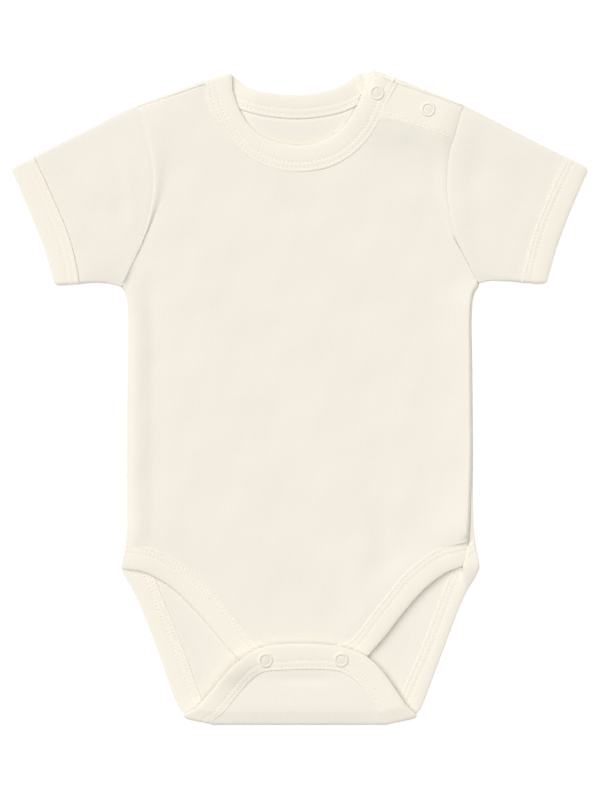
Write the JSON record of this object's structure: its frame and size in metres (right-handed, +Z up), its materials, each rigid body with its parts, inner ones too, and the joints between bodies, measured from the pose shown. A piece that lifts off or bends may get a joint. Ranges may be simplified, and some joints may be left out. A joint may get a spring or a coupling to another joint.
{
  "type": "baby onesie",
  "caption": "Short-sleeved baby bodysuit laid flat, with rib neckband, cuffs and leg bindings, a shoulder opening and a snap crotch.",
  "frame": {"origin": "middle of the outline, on the surface that the garment lies on", "axes": "+Z up out of the front, +Y towards the neck, +X towards the viewer's right"},
  "size_m": [0.3666, 0.4162, 0.01],
  "materials": {
    "body_cloth": "cotton interlock, matt",
    "sleeve_cloth": "cotton interlock, matt",
    "rib": "cotton rib, matt",
    "snap": "smooth white ring with a cloth middle"
  },
  "bodies": {
    "root": {"front_panel": "body_cloth", "back_panel": "body_cloth", "sleeve_left": "sleeve_cloth", "sleeve_right": "sleeve_cloth", "cuff_left": "rib", "cuff_right": "rib", "neckband": "rib", "front_leg_binding": "rib", "back_leg_binding": "rib", "snap_cap_shoulder_inner": "snap", "snap_closure_shoulder_inner": "snap", "snap_cap_shoulder_outer": "snap", "snap_closure_shoulder_outer": "snap", "snap_cap_crotch_left": "snap", "snap_closure_crotch_left": "snap", "snap_cap_crotch_right": "snap", "snap_closure_crotch_right": "snap"}
  },
  "joints": []
}
